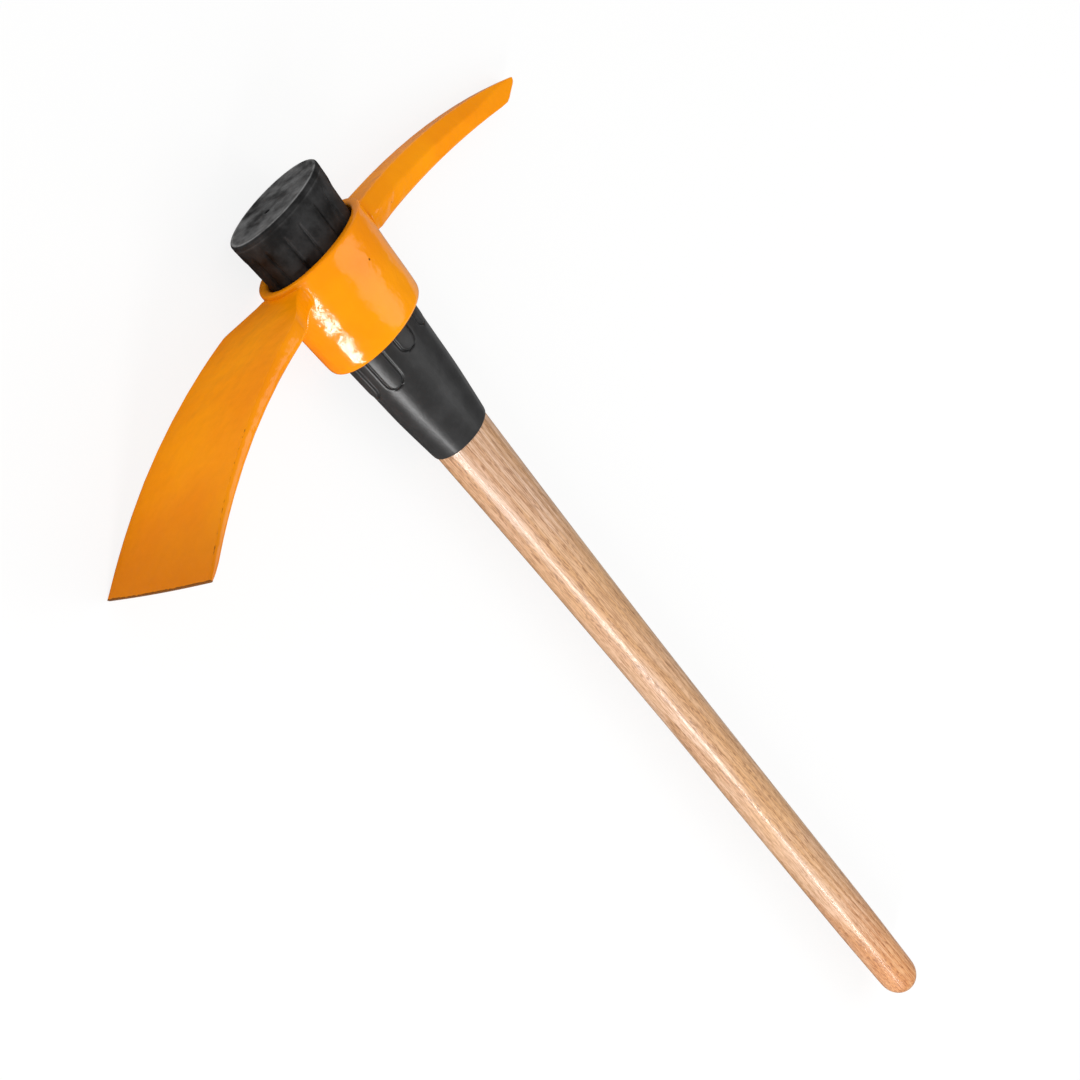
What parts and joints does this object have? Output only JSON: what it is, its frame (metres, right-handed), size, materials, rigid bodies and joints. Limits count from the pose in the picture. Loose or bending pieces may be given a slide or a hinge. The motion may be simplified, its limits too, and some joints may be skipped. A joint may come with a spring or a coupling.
{
  "type": "pick axe",
  "caption": "Pick axe: a forged orange head with a broad curved adze opposite a tapered pick, dropped over the black moulded boot of a round ash handle.",
  "frame": {"origin": "on the handle's axis, where the straight round grip begins above the rounded butt", "axes": "+X along the handle towards the head, +Y along the adze (the pick is along -Y), +Z across the adze's cutting edge, up when the tool lies on its side"},
  "size_m": [0.9, 0.506, 0.0924],
  "materials": {
    "ash": "clear lacquered ash, fine long grain",
    "boot_plastic": "moulded black polymer, satin",
    "enamel": "glossy orange enamel over forged steel"
  },
  "bodies": {
    "haft": {"handle": "ash", "boot": "boot_plastic"},
    "head": {"head": "enamel"}
  },
  "joints": [
    {"name": "head_slide", "type": "slide", "parent": "haft", "child": "head", "axis": [-1, 0, 0], "range_m": [0, 0.776]}
  ]
}
